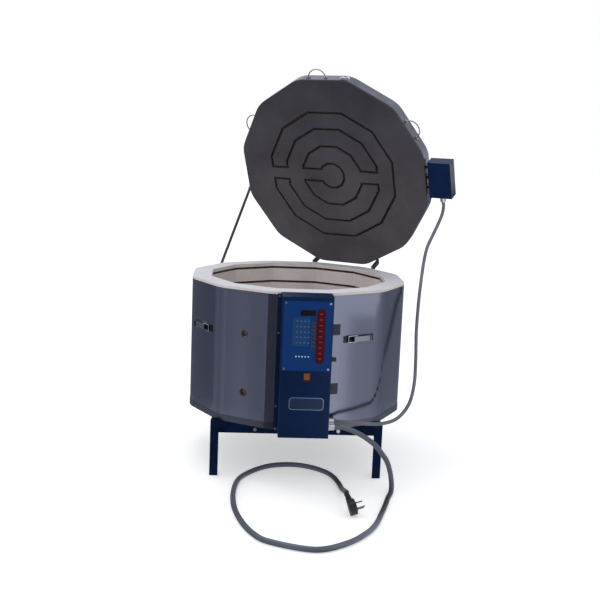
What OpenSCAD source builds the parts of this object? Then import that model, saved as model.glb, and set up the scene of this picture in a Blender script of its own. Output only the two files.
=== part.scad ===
// Top-loading twelve-sided glass kiln on a square angle-iron stand, with its lid propped open.
// The origin is on the floor below the middle of the chamber, and the control box faces -Y.

/* [Chamber] */
// Distance across the flats inside the chamber
chamber_across = 711.2; // [560:0.2:900]
// Thickness of the firebrick wall
wall_t = 76.2; // [60:0.1:115]
// Height of one row of firebricks
row_h = 228.6; // [216:0.1:260]
// Thickness of the floor slab
floor_t = 76.2; // [50:0.1:115]
// Gap between two firebricks
brick_gap = 0.3; // [0.2:0.05:0.5]
// Radius of the rounded outer corners
corner_r = 120; // [60:5:180]
// Diameter at the bottom of an element groove
groove_d = 15; // [13:0.5:18]
// Height of a groove's mouth
groove_mouth = 10; // [8:0.5:11]
// Depth of a groove behind the brick face
groove_depth = 20; // [16:0.5:26]
// Outer diameter of a wall element's coil
coil_d = 11; // [8:0.5:12]
// Diameter of an element's lead through the wall
lead_d = 4; // [3:0.5:5]
// Bore of a peephole in the firebrick
peep_d = 25.4; // [19:0.1:32]

/* [Jacket] */
// Thickness of the stainless jacket
jacket_t = 0.8; // [0.5:0.1:1.5]
// How far the brick rim stands above the jacket
rim_proud = 10; // [4:1:16]
// Diameter of the peephole opening in the jacket
peep_jacket_d = 31; // [26:0.5:40]
// Thickness of the base pan
pan_t = 1.2; // [0.8:0.1:2]

/* [Stand] */
// Height of the stand
stand_h = 223; // [150:1:400]
// Outer width of the square stand
stand_w = 678; // [560:2:720]
// Leg of the corner angle iron
leg_w = 33; // [25:1:50]
// Height of the rail angle iron
rail_h = 48; // [30:1:60]
// Thickness of the angle iron
angle_t = 3.2; // [2.5:0.1:6]
// Diameter of the stand bolts
bolt_d = 8; // [6:0.5:10]

/* [Lid] */
// Thickness of the lid slab
lid_t = 63.5; // [50:0.5:90]
// How much smaller the lid is than the body, per side
lid_inset = 4; // [0:0.5:10]
// Gap left under the closed lid
lid_gap = 0.4; // [0.3:0.1:1]
// Angle that the lid stands open
lid_open = 68; // [0:1:80]
// Width of the lid's element groove
lid_groove_w = 11; // [9:0.5:14]
// Depth of the lid's element groove
lid_groove_depth = 18; // [12:0.5:24]
// Outer diameter of the lid element's coil
lid_coil_d = 9; // [6:0.5:9.5]
// Half the distance between the two runs that join the rings
lid_run_half = 28; // [24:1:28]

/* [Hinge and brace] */
// Distance of the hinge axis outside the jacket
hinge_out = 13; // [12:0.5:20]
// Distance of the hinge axis below the rim
hinge_drop = 14; // [12:0.5:20]
// Diameter of the hinge rod
rod_d = 9.5; // [6:0.5:12]
// Clearance around the hinge rod and the pivots
pivot_clear = 0.05; // [0.03:0.01:0.1]
// Distance of the brace's lid pivot from the hinge axis, along the lid
brace_reach = 345; // [300:5:380]
// Height of that pivot above the hinge axis with the lid closed
brace_rise = 46.5; // [40:0.5:60]
// Width of the brace bar
brace_w = 17.5; // [14:0.5:22]
// Thickness of the brace bar
brace_t = 3.2; // [2.5:0.1:5]

/* [Control box] */
// Width of the control box
box_w = 190; // [186:1:210]
// Depth of the control box
box_d = 100; // [90:1:130]
// Gap between the rim and the top of the control box
box_top_gap = 1; // [0.5:0.5:30]
// How far the control box reaches below the body
box_drop = 0.4; // [0.2:0.2:6]
// How far the control box sits to the right of its facet's middle
box_shift = 12; // [0:1:14]
// Thickness of the folded sheet
sheet_t = 1.5; // [1:0.1:2]
// Corner radius of the folded sheet
box_r = 5; // [3:0.5:8]
// Width of the flange that is screwed to the jacket
flange_w = 14; // [12:0.5:18]
// Width of the controller plate
plate_w = 180; // [176:1:184]
// Height of the controller plate
plate_h = 262; // [258:1:280]
// Height of the controller plate's middle above the bottom of the box
plate_up = 389; // [386:1:390]
// Diameter of the fuse holder
fuse_d = 19; // [14:0.5:22]
// Diameter of a cord connector's barrel
grip_d = 24; // [22:0.5:26]
// Length of a cord connector
grip_l = 24; // [18:1:24]

/* [Lid fittings] */
// Span of a wire handle between its feet
handle_span = 82; // [60:1:110]
// How far a wire handle stands out from the band
handle_out = 34; // [30:1:40]
// Diameter of the handle wire
handle_wire_d = 5; // [4:0.5:7]
// How far the front handle sits to the left of its facet's middle
handle_shift = 30; // [0:1:34]
// Depth of the junction box, away from the lid
junction_d = 98; // [80:1:120]
// Width of the junction box
junction_w = 158; // [140:1:165]
// Thickness of the junction box
junction_t = 54; // [46:1:60]
// Gap between the junction box and the lid's band
junction_gap = 12; // [8:1:16]

/* [Latches] */
// Height of the latches above the bottom of the jacket
latch_up = 353; // [200:1:400]
// Length of a latch lever from its pivot to its tip
latch_lever_l = 78; // [60:1:90]
// Width of a latch lever
latch_w = 20; // [18:0.5:24]
// Length of the wire loop
latch_loop_l = 40; // [34:1:46]
// Distance of the loop's pivot from the lever's pivot
latch_throw = 13; // [11:0.5:15]
// Diameter of the loop wire
latch_wire_d = 3; // [2.5:0.25:3.5]

/* [Cords] */
// Diameter of the power cord
cord_d = 20; // [14:0.5:20]
// Diameter of the lid's cable
cable_d = 14; // [10:0.5:14]
// Diameter of the plug's round body
plug_d = 56; // [50:1:60]

/* [Hidden] */
$fn = 48;
sides = 12;
step = 360 / sides;
// Seat clearance between pieces that only rest on each other
clear = 0.3;
// Gap between the jacket and the bricks that it wraps
wrap_gap = 0.1;
arc_steps = 5;

chamber_ap = chamber_across / 2;
body_ap = chamber_ap + wall_t;
jacket_ap = body_ap + wrap_gap + jacket_t;
pan_ap = jacket_ap + wrap_gap + pan_t;
jacket_r = corner_r + wrap_gap + jacket_t;
pan_r = jacket_r + wrap_gap + pan_t;
floor_z = stand_h + pan_t;
wall_z = floor_z + floor_t;
rim_z = wall_z + 2 * row_h;
jacket_top = rim_z - rim_proud;
groove_pitch = row_h / 3.6;
groove_first = (row_h - 3 * groove_pitch) / 2;
groove_r = chamber_ap + groove_depth - groove_d / 2;

lid_ap = body_ap - lid_inset;
lid_corner_r = corner_r - lid_inset;
band_ap = lid_ap + wrap_gap + jacket_t;
// Distances from the lid's middle to the four rings of its coil
lid_rings = lid_ap * [0.671, 0.5, 0.318, 0.131];
band_r = lid_corner_r + wrap_gap + jacket_t;
lid_z = rim_z + lid_gap;
lid_top = lid_z + lid_t;

hinge_az = 150;
hinge_r = jacket_ap + hinge_out;
hinge_z = rim_z - hinge_drop;

// Unit vector that points out of the wall at an azimuth, and the one along the wall
function out(az) = [sin(az), -cos(az)];
function along(az) = [cos(az), sin(az)];

// Outline with flat sides at a distance ap from the middle and corners rounded to r
function soft_outline(ap, r) = [
    for (k = [0 : sides - 1])
        for (j = [0 : arc_steps])
            (ap - r) / cos(step / 2) * out(step * (k + 0.5)) + r * out(step * (k + j / arc_steps))
];

// Half of one rounded corner, from the edge of a facet to the joint between two bricks
function corner_half(side) =
    let (joint = out(side * step / 2), middle = (body_ap - corner_r) / cos(step / 2) * joint)
    [
        for (j = [0 : floor(arc_steps / 2)])
            middle + corner_r * out(side * step * j / arc_steps),
        middle + corner_r * cos(step / 2 / arc_steps) * joint
            - side * brick_gap / 2 * along(side * step / 2)
    ];
function reversed(list) = [for (i = [len(list) - 1 : -1 : 0]) list[i]];
function inner_corner(side) =
    chamber_ap / cos(step / 2) * out(side * step / 2) - side * brick_gap / 2 * along(side * step / 2);

function unit(v) = v / norm(v);

// A point of the lid, given as the lid lies closed, moved to where the open lid holds it
function turn_z(p, a) = [p.x * cos(a) - p.y * sin(a), p.x * sin(a) + p.y * cos(a), p.z];
function open_lid(p) =
    let (dy = p.y + hinge_r, dz = p.z - hinge_z)
    turn_z([p.x, dy * cos(lid_open) - dz * sin(lid_open) - hinge_r,
            dy * sin(lid_open) + dz * cos(lid_open) + hinge_z], hinge_az);

// Catmull-Rom curve through the points of a route, with n steps to a span
function route_curve(p, n) = [
    for (i = [0 : len(p) - 2])
        let (a = p[max(i - 1, 0)], b = p[i], c = p[i + 1], d = p[min(i + 2, len(p) - 1)])
        for (j = [0 : n - 1])
            let (t = j / n)
            0.5 * (2 * b + (c - a) * t + (2 * a - 5 * b + 4 * c - d) * t * t
                + (3 * b - 3 * c + d - a) * t * t * t),
    p[len(p) - 1]
];

// Round tube swept along points, with rings square to the path, open or closed on itself
module tube(p, d, side, closed = false, n = 8) {
    count = len(p);
    function ring(i) =
        let (a = closed ? p[(i + count - 1) % count] : p[max(i - 1, 0)],
             b = closed ? p[(i + 1) % count] : p[min(i + 1, count - 1)],
             t = closed ? unit(unit(b - p[i]) + unit(p[i] - a)) : unit(b - a),
             u = unit(cross(side, t)),
             v = cross(t, u),
             wide = closed ? 1 / (t * unit(b - p[i])) : 1)
        [for (k = [0 : n - 1])
            let (a = 360 * (k + 0.5) / n)
            p[i] + d / 2 * (cos(a) * wide * u + sin(a) * v)];
    points = [for (i = [0 : count - 1]) each ring(i)];
    walls = [
        for (i = [0 : count - (closed ? 1 : 2)])
            for (k = [0 : n - 1])
                let (i2 = (i + 1) % count, k2 = (k + 1) % n)
                [i2 * n + k, i2 * n + k2, i * n + k2, i * n + k]
    ];
    ends = closed ? [] : [[for (k = [0 : n - 1]) k],
                          [for (k = [n - 1 : -1 : 0]) (count - 1) * n + k]];
    polyhedron(points = points, faces = concat(walls, ends));
}

// Frame of one facet: X runs to the right along the wall, and -Y points outwards
module facet(az) {
    rotate([0, 0, az]) children();
}

// Cylinder along X, or along Y pointing outwards, that starts at the point given
module rod_x(d, l) {
    rotate([0, 90, 0]) cylinder(d = d, h = l);
}
module rod_out(d, l) {
    rotate([90, 0, 0]) cylinder(d = d, h = l);
}

// Upright wall of sheet or brick between two rounded outlines
module soft_ring(ap, r, t, h) {
    difference() {
        linear_extrude(h) polygon(soft_outline(ap, r));
        translate([0, 0, -1]) linear_extrude(h + 2) polygon(soft_outline(ap - t, r - t));
    }
}

// Stand: four corner angles, four rails between them and two bars that carry the kiln
post = stand_w / 2;
rail_y = post - angle_t;
bolt_x = 164;
bar_x = bolt_x + 0.28 * leg_w;
bar_end = rail_y - angle_t;
bolt_z = stand_h - rail_h + 16;

module leg(right, back) {
    color("#0b1c3a")
    mirror([right, 0, 0])
    mirror([0, back, 0])
    translate([-post, -post, 0])
    linear_extrude(stand_h)
    polygon([[0, 0], [leg_w, 0], [leg_w, angle_t], [angle_t, angle_t], [angle_t, leg_w], [0, leg_w]]);
}

// Angle iron along X with its outer face at y = 0 and its top at z = 0
module angle_rail(l) {
    translate([-l / 2, 0, 0])
    rotate([90, 0, 90])
    linear_extrude(l)
    polygon([[0, 0], [0, -rail_h], [angle_t, -rail_h], [angle_t, -angle_t], [leg_w, -angle_t], [leg_w, 0]]);
}

module stand_rails() {
    color("#0b1c3a")
    for (turn = [0, 180])
        rotate([0, 0, turn]) {
            difference() {
                translate([0, -rail_y, stand_h]) angle_rail(2 * rail_y);
                for (side = [-1, 1])
                    translate([side * bolt_x, -rail_y + angle_t + 1, bolt_z])
                    rod_out(bolt_d + 0.4, angle_t + 2);
            }
            rotate([0, 0, 90])
            difference() {
                translate([0, -rail_y, stand_h]) angle_rail(2 * bar_end);
                for (end = [-1, 1])
                    translate([end * rail_y, -rail_y + leg_w / 2 + angle_t + clear, stand_h])
                    cube([2 * (leg_w + clear), leg_w, 2 * angle_t + 2 * clear], center = true);
            }
        }
}

module cross_bars() {
    bar_h = rail_h - 8;
    color("#0b1c3a")
    for (side = [-1, 1])
        translate([side * bar_x, 0, stand_h - bar_h])
        difference() {
            union() {
                translate([-leg_w / 2, -bar_end, bar_h - angle_t]) cube([leg_w, 2 * bar_end, angle_t]);
                translate([-angle_t / 2, -bar_end, 0]) cube([angle_t, 2 * bar_end, bar_h]);
                for (end = [0, 1])
                    mirror([0, end, 0])
                    translate([-leg_w / 2, -bar_end, 0]) cube([leg_w, angle_t, bar_h]);
            }
            for (end = [0, 1])
                mirror([0, end, 0]) {
                    translate([-leg_w, -rail_y - 1, bar_h - angle_t - clear])
                    cube([2 * leg_w, leg_w + clear + 1, rail_h]);
                    translate([side * (bolt_x - bar_x), -bar_end + leg_w, bolt_z - stand_h + bar_h])
                    rod_out(bolt_d + 0.4, 2 * leg_w);
                }
        }
}

module stand_bolts() {
    nut_t = 6;
    color("silver")
    for (side = [-1, 1])
        for (turn = [0, 180])
            rotate([0, 0, turn])
            translate([side * bolt_x, -rail_y, bolt_z]) {
                rod_out(1.8 * bolt_d, 4);
                translate([0, 2 * angle_t + nut_t + 2, 0]) rod_out(bolt_d, 2 * angle_t + nut_t + 3);
                translate([0, 2 * angle_t + nut_t, 0])
                rotate([90, 0, 0])
                cylinder(d = 1.7 * bolt_d, h = nut_t, $fn = 6);
            }
}

module base_pan() {
    pan_rim = 25;
    color("#8f94a0")
    translate([0, 0, stand_h])
    difference() {
        linear_extrude(pan_rim) polygon(soft_outline(pan_ap, pan_r));
        translate([0, 0, pan_t]) linear_extrude(pan_rim) polygon(soft_outline(pan_ap - pan_t, pan_r - pan_t));
    }
}

module floor_slab() {
    color("#cfc6be")
    translate([0, 0, floor_z])
    linear_extrude(floor_t) polygon(soft_outline(body_ap, corner_r));
}

// One firebrick with the grooves that hold the coils; what is passed in is bored out too
module brick() {
    difference() {
        linear_extrude(row_h)
        polygon(concat(corner_half(1), [inner_corner(1)], [inner_corner(-1)], reversed(corner_half(-1))));
        for (i = [0 : 3])
            translate([-chamber_ap, -chamber_ap, groove_first + i * groove_pitch]) {
                translate([0, -groove_depth + groove_d / 2, -groove_mouth / 2])
                cube([2 * chamber_ap, groove_depth, groove_mouth]);
                translate([0, -groove_depth + groove_d / 2, 0]) rod_x(groove_d, 2 * chamber_ap);
            }
        children();
    }
}

peep_az = -step;
peep_z = groove_first + groove_pitch / 2;
lead_x = 36;
bushing_d = 12;
probe_d = 8;
coil_drop = (groove_d - coil_d) / 2;

module brick_row(level) {
    color("#d6cdc6")
    translate([0, 0, wall_z + level * row_h])
    for (k = [0 : sides - 1])
        facet(step * k)
        brick() {
            if (step * k == 360 + peep_az)
                translate([0, -chamber_ap + 1, peep_z]) rod_out(peep_d, wall_t + 2);
            if (k == 0)
                for (i = [0 : 3])
                    translate([i % 2 == 0 ? -lead_x : lead_x, -chamber_ap, groove_first + i * groove_pitch])
                    rod_out(bushing_d + 2 * clear, wall_t + 2);
            if (k == 0 && level == 1)
                translate([0, -chamber_ap + 1, row_h / 2]) rod_out(probe_d + 2 * clear, wall_t + 2);
        }
}

// Coils of one row, drawn as their outer envelope, and the straight leads at their ends
module elements(level) {
    flat = coil_d / 2 * cos(22.5);
    color("#5b5048")
    translate([0, 0, wall_z + level * row_h])
    for (i = [0 : 3]) {
        z = groove_first + i * groove_pitch - coil_drop;
        tube([for (k = [0 : sides - 1])
            let (v = groove_r / cos(step / 2) * out(step * (k + 0.5))) [v.x, v.y, z]],
            coil_d, [0, 0, 1], closed = true);
        translate([i % 2 == 0 ? -lead_x : lead_x, -groove_r - flat, z])
        rod_out(lead_d, body_ap - groove_r + 20);
    }
}

// Ceramic tubes that carry the leads through the wall into the control box
module element_bushings() {
    start = chamber_ap + groove_depth + 2;
    color("#e9e4da")
    for (level = [0, 1])
        for (i = [0 : 3])
            translate([i % 2 == 0 ? -lead_x : lead_x, -start,
                       wall_z + level * row_h + groove_first + i * groove_pitch])
            difference() {
                union() {
                    rod_out(bushing_d, body_ap - start + 12);
                    translate([0, start - body_ap, 0]) rod_out(bushing_d + 6, 5);
                }
                translate([0, 1, -coil_drop]) rod_out(lead_d + 2 * clear, body_ap);
            }
}

module thermocouple() {
    z = wall_z + 1.5 * row_h;
    tip = chamber_ap - 28;
    color("#efe9dd") {
        translate([0, -tip, z]) rod_out(probe_d, body_ap + 2 - tip);
        translate([0, -tip, z]) sphere(d = probe_d);
        translate([-13, -body_ap - 14, z - 9]) cube([26, 14, 18]);
    }
}

module jacket() {
    window_x = lead_x + bushing_d + 4;
    color("#8a8e9c")
    translate([0, 0, floor_z])
    difference() {
        soft_ring(jacket_ap, jacket_r, jacket_t, jacket_top - floor_z);
        for (level = [0, 1])
            facet(peep_az)
            translate([0, -body_ap + 9, floor_t + level * row_h + peep_z]) rod_out(peep_jacket_d, 20);
        translate([-window_x, -jacket_ap - 5, floor_t + groove_first - 20])
        cube([2 * window_x, 20, row_h + 3 * groove_pitch + 40]);
    }
}

// Control box: a folded shell, open to the back, with one flange that is screwed to the jacket
box_back = pan_ap;
box_front = box_back + box_d;
box_z = stand_h - box_drop;
box_h = rim_z - box_top_gap - box_z;
box_edge = box_shift + box_w / 2;
plate_z = box_z + plate_up;
plate_t = 2;
cut_in = 14;
screw_in = 8;
flange_x = box_shift - (box_w + flange_w) / 2;
flange_screws = [5, 0.176 * box_h, 0.708 * box_h, box_h - 15];
grip_at = [[box_back + 63, 34], [box_back + 28, 46]];
grip_neck_d = grip_d - 5;
fuse_at = [box_back + 62, 296];
fuse_neck_d = fuse_d - 5;
fuse_stem_d = 7;
switch_at = [box_shift + 5, 235];
switch_w = 21.5;
switch_h = 27;
switch_wall = 2.5;
rocker_deep = 6;
rocker_pin_d = 3;
rocker_tilt = 8;
display_w = 56;
display_h = 21;
display_up = 87;

function arc_points(c, r, a0, a1) = [
    for (j = [0 : arc_steps])
        let (a = a0 + (a1 - a0) * j / arc_steps) c + r * [cos(a), sin(a)]
];

// Plan of the box: open edge at y = 0 and rounded corners at the front
function box_plan(w, d, r) = concat(
    [[w / 2, 0], [-w / 2, 0]],
    arc_points([-w / 2 + r, -d + r], r, 180, 270),
    arc_points([w / 2 - r, -d + r], r, 270, 360)
);

module control_box() {
    color("#0c1d3c")
    difference() {
        union() {
            translate([box_shift, -box_back, box_z])
            difference() {
                linear_extrude(box_h) polygon(box_plan(box_w, box_d, box_r));
                translate([0, 1, sheet_t])
                linear_extrude(box_h - 2 * sheet_t)
                polygon(box_plan(box_w - 2 * sheet_t, box_d + 1 - sheet_t, box_r - sheet_t));
            }
            translate([box_shift - box_w / 2 - flange_w, -box_back, box_z - 6])
            rotate([90, 0, 0])
            linear_extrude(sheet_t)
            polygon([[0, 5], [0, box_h], [flange_w + sheet_t, box_h],
                     [flange_w + sheet_t, 6], [flange_w, 6], [flange_w, 0], [5, 0]]);
        }
        for (z = flange_screws)
            translate([flange_x, -box_back + 1, box_z + z]) rod_out(4.4, 5);
        translate([box_shift, -box_front, plate_z])
        cube([plate_w - 2 * cut_in, 10, plate_h - 2 * cut_in], center = true);
        translate([switch_at.x, -box_front, box_z + switch_at.y])
        cube([switch_w + 2 * (switch_wall + clear), 10, switch_h + 2 * (switch_wall + clear)], center = true);
        for (at = grip_at)
            translate([box_edge - 5, -at.x, box_z + at.y]) rod_x(grip_neck_d + 2 * clear, 10);
        translate([box_edge - 5, -fuse_at.x, box_z + fuse_at.y]) rod_x(fuse_neck_d + 2 * clear, 10);
    }
}

// Pan-head screw with its head resting on the face at y = 0 and its shank going in
module screw_out(head_d, shank_d, shank_l) {
    rod_out(head_d, 2.4);
    translate([0, shank_l, 0]) rod_out(shank_d, shank_l + 1);
}

module box_screws() {
    color("silver")
    for (z = flange_screws)
        translate([flange_x, -box_back - sheet_t, box_z + z]) screw_out(8, 4, sheet_t);
}

// Two hinge leaves on the far side of the box, bent round the jacket's corner
module box_hinges() {
    leaf_h = 42;
    leaf_t = 2;
    middle = (body_ap - corner_r) / cos(step / 2) * out(step / 2);
    pin = middle + (jacket_r + leaf_t + 2) * out(14);
    arc = [14, 18, 24, 30];
    color("#2b2f3a")
    for (z = box_h * [0.307, 0.738])
        translate([0, 0, box_z + z - leaf_h / 2])
        linear_extrude(leaf_h) {
            polygon(concat([for (a = arc) middle + jacket_r * out(a)],
                           [for (a = reversed(arc)) middle + (jacket_r + leaf_t) * out(a)]));
            translate(pin) circle(d = 6);
            polygon([[box_edge, -box_back - 26], [box_edge + leaf_t, -box_back - 26],
                     [box_edge + leaf_t, pin.y - 3], [pin.x, pin.y - 3],
                     [pin.x, pin.y - 1], [box_edge, pin.y - 1]]);
        }
}

module controller_plate() {
    color("#123468")
    translate([box_shift, -box_front, plate_z])
    rotate([90, 0, 0])
    linear_extrude(plate_t)
    difference() {
        square([plate_w, plate_h], center = true);
        for (x = [-1, 1])
            for (z = [-1, 1])
                translate([x * (plate_w / 2 - screw_in), z * (plate_h / 2 - screw_in)]) circle(d = 4.4);
        translate([0, display_up]) square([display_w, display_h], center = true);
    }
}

module plate_screws() {
    color("silver")
    for (x = [-1, 1])
        for (z = [-1, 1])
            translate([box_shift + x * (plate_w / 2 - screw_in), -box_front - plate_t,
                       plate_z + z * (plate_h / 2 - screw_in)])
            screw_out(8, 3.6, plate_t - clear);
}

// Tinted window that fills the plate's opening and bears on its back with a rim
module display_window() {
    color("#14100f")
    translate([box_shift, -box_front, plate_z + display_up]) {
        translate([0, 1, 0]) cube([display_w + 8, 2, display_h + 8], center = true);
        translate([0, -plate_t / 2 + 0.4, 0])
        cube([display_w - 2 * clear, plate_t, display_h - 2 * clear], center = true);
    }
}

// Flat key panel with a raised pad for every key
module keypad() {
    pad_w = 11;
    pad_h = 14;
    color("#2b4f80")
    translate([box_shift - 24, -box_front - plate_t, plate_z + 16]) {
        translate([-31, -0.6, -54]) cube([62, 0.6, 108]);
        for (i = [0 : 3])
            for (j = [0 : 4])
                translate([(i - 1.5) * 14.5 - pad_w / 2, -1.2, (j - 2) * 20 - pad_h / 2])
                cube([pad_w, 0.8, pad_h]);
    }
}

// Circuit board on four posts behind the plate
module controller_board() {
    gap = 16;
    board_w = plate_w - 40;
    board_h = plate_h - 62;
    color("#1f6b45")
    translate([box_shift, -box_front + gap, plate_z]) {
        translate([-board_w / 2, 0, -board_h / 2]) cube([board_w, 1.6, board_h]);
        for (x = [-1, 1])
            for (z = [-1, 1])
                translate([x * (board_w / 2 - 8), 0, z * (board_h / 2 - 8)]) rod_out(6, gap);
        translate([-board_w / 4, 1.6, -board_h / 4]) cube([34, 16, 28]);
        translate([board_w / 8, 1.6, board_h / 8]) cube([40, 12, 14]);
    }
}

module rocker_bezel() {
    rim = 4;
    color("#101114")
    translate([switch_at.x, -box_front, box_z + switch_at.y])
    difference() {
        union() {
            translate([0, -1, 0]) cube([switch_w + 2 * rim, 2, switch_h + 2 * rim], center = true);
            translate([0, 10, 0])
            cube([switch_w + 2 * switch_wall, 22, switch_h + 2 * switch_wall], center = true);
        }
        translate([0, 3, 0]) cube([switch_w, 20, switch_h], center = true);
        translate([-switch_w / 2 - 2, rocker_deep, 0]) rod_x(rocker_pin_d + 2 * pivot_clear, switch_w + 4);
    }
}

// Rocker with a dished face, turning on two short pins
module rocker() {
    half = switch_h / 2;
    color("#d0701c")
    translate([switch_at.x, -box_front + rocker_deep, box_z + switch_at.y])
    rotate([-rocker_tilt, 0, 0]) {
        rotate([0, 90, 0])
        linear_extrude(switch_w - 3 * clear, center = true)
        polygon([[-half + 1.6, -9], [-half / 2, -7.9], [0, -7.5], [half / 2, -7.9], [half - 1.6, -9],
                 [half - 2.5, 0], [half / 2, 4], [-half / 2, 4], [-half + 2.5, 0]]);
        translate([-switch_w / 2 - 1.6, 0, 0]) rod_x(rocker_pin_d, switch_w + 3.2);
    }
}

module fuse_holder() {
    collar = 6;
    color("#17181b")
    translate([box_edge, -fuse_at.x, box_z + fuse_at.y])
    difference() {
        union() {
            rod_x(fuse_d, collar);
            translate([-30, 0, 0]) rod_x(fuse_neck_d, 31);
        }
        translate([-12, 0, 0]) rod_x(fuse_stem_d + 2 * pivot_clear, 30);
    }
}
module fuse_cap() {
    color("#17181b")
    translate([box_edge + 6 + clear, -fuse_at.x, box_z + fuse_at.y]) {
        difference() {
            rod_x(fuse_d - 2, 13);
            translate([13, 0, 0]) cube([4, fuse_d, 1.6], center = true);
        }
        translate([-16, 0, 0]) rod_x(fuse_stem_d, 17);
    }
}

// Strain-relief connector with its hex nut on the wall at x = 0 and its body pointing along X
module connector(l) {
    rotate([0, 90, 0]) cylinder(d = grip_d + 6, h = 6, $fn = 6);
    rod_x(grip_d, l);
    translate([-12, 0, 0]) rod_x(grip_neck_d, 13);
    translate([-sheet_t - 5, 0, 0]) rotate([0, 90, 0]) cylinder(d = grip_d + 6, h = 5, $fn = 6);
}

module cord_connectors() {
    color("silver")
    for (at = grip_at)
        translate([box_edge, -at.x, box_z + at.y]) connector(grip_l);
}

module relays() {
    relay = [38, 28, 44];
    color("#24303c")
    for (i = [-1 : 1])
        translate([box_shift + i * 50 - relay.x / 2, -box_front + sheet_t, box_z + 70]) cube(relay);
}

module transformer() {
    color("#4a4038")
    translate([box_shift, -box_front + sheet_t, box_z + 170]) {
        translate([-27, 0, -23]) cube([54, 34, 46]);
        translate([-42, 0, -20]) cube([84, 2, 40]);
        translate([-16, 0, -28]) cube([32, 26, 56]);
    }
}

// Place of the lid: drawn closed and turned about its hinge to where it stands open
module lid_frame() {
    rotate([0, 0, hinge_az])
    translate([0, -hinge_r, hinge_z])
    rotate([lid_open, 0, 0])
    translate([0, hinge_r, -hinge_z])
    children();
}

// Path of the one long coil in the lid, with a straight run on both sides of the middle
function ring_point(r, a) = r / cos(step / 2) * [cos(a), sin(a)];
lid_run_end = (lid_rings[3] - lid_run_half / 2) / cos(step);
lid_path = concat(
    [[lid_rings[0], lid_run_half]],
    [for (a = [15 : step : 345]) ring_point(lid_rings[0], a)],
    [[lid_rings[0], -lid_run_half], [lid_rings[1], -lid_run_half]],
    [for (a = [345 : -step : 195]) ring_point(lid_rings[1], a)],
    [[-lid_rings[1], -lid_run_half], [-lid_rings[2], -lid_run_half]],
    [for (a = [195 : step : 345]) ring_point(lid_rings[2], a)],
    [[lid_rings[2], -lid_run_half], [lid_run_end, -lid_run_half]],
    [for (a = [315 : -step : 45]) ring_point(lid_rings[3], a)],
    [[lid_run_end, lid_run_half], [lid_rings[2], lid_run_half]],
    [for (a = [15 : step : 165]) ring_point(lid_rings[2], a)],
    [[-lid_rings[2], lid_run_half], [-lid_rings[1], lid_run_half]],
    [for (a = [165 : -step : 15]) ring_point(lid_rings[1], a)],
    [[lid_rings[1], lid_run_half]]
);
function beside(p, s) = [
    for (i = [0 : len(p) - 1])
        let (n = len(p),
             d0 = unit(p[i] - p[(i + n - 1) % n]),
             d1 = unit(p[(i + 1) % n] - p[i]),
             t = unit(d0 + d1))
        p[i] + s / (t * d1) * [-t.y, t.x]
];

junction_y = -band_ap - junction_gap;
junction_x = -5;
junction_lead_x = 22;
junction_exit = 50;
lid_coil_z = lid_z + lid_groove_depth - lid_coil_d / 2 * cos(22.5);

module lid_slab() {
    color("#d9cfc8")
    lid_frame()
    difference() {
        translate([0, 0, lid_z]) linear_extrude(lid_t) polygon(soft_outline(lid_ap, lid_corner_r));
        translate([0, 0, lid_z - 1])
        linear_extrude(lid_groove_depth + 1)
        difference() {
            polygon(beside(lid_path, -lid_groove_w / 2));
            polygon(beside(lid_path, lid_groove_w / 2));
        }
        for (side = [-1, 1])
            facet(-90)
            translate([junction_x + side * junction_lead_x, -lid_rings[0], lid_coil_z])
            rod_out(lead_d + 2 * clear, lid_ap);
    }
}

module lid_band() {
    color("#7b7e8d")
    lid_frame()
    difference() {
        translate([0, 0, lid_z + 9]) soft_ring(band_ap, band_r, jacket_t, lid_t - 9);
        facet(-90)
        translate([junction_x - junction_lead_x - 6, -band_ap - 2, lid_coil_z - 4])
        cube([2 * junction_lead_x + 12, 6, 12]);
    }
}

// Two lugs of the band drawn together by one screw
module lid_band_clamp() {
    color("#9a9cab")
    lid_frame()
    difference() {
        facet(180)
        translate([105, -band_ap, lid_z + 20]) {
            for (x = [-10, 10])
                translate([x - 4, -9, -8]) cube([8, 19, 16]);
            translate([-22, -4, 0]) rod_x(5, 40);
            translate([16, -4, 0]) rod_x(9, 4);
        }
        translate([0, 0, lid_z]) linear_extrude(lid_t) polygon(soft_outline(band_ap, band_r));
    }
}

module lid_element() {
    color("#5b5048")
    lid_frame() {
        tube([for (v = lid_path) [v.x, v.y, lid_coil_z]], lid_coil_d, [0, 0, 1], closed = true);
        for (side = [-1, 1])
            facet(-90)
            translate([junction_x + side * junction_lead_x, -lid_rings[0] - lid_coil_d / 2 * cos(22.5),
                       lid_coil_z])
            rod_out(lead_d, -junction_y - lid_rings[0] + 16);
    }
}

// Wire handle: one bent arch with a foot at both ends
module handle(az, shift) {
    half = handle_span / 2;
    bend_r = (half * half + handle_out * handle_out) / (2 * handle_out);
    bend = asin(half / bend_r) + (handle_out > half ? 90 : 0);
    foot_t = 3;
    color("#3b3e47")
    lid_frame()
    facet(az)
    translate([shift, -band_ap, lid_z + lid_t / 2 + 2]) {
        for (side = [-1, 1])
            translate([side * half - 8, -foot_t, -6]) cube([16, foot_t, 12]);
        translate([0, bend_r - handle_out - foot_t / 2, 0])
        rotate([0, 0, -90 - bend])
        rotate_extrude(angle = 2 * bend)
        translate([bend_r, 0]) circle(d = handle_wire_d);
    }
}

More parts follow.
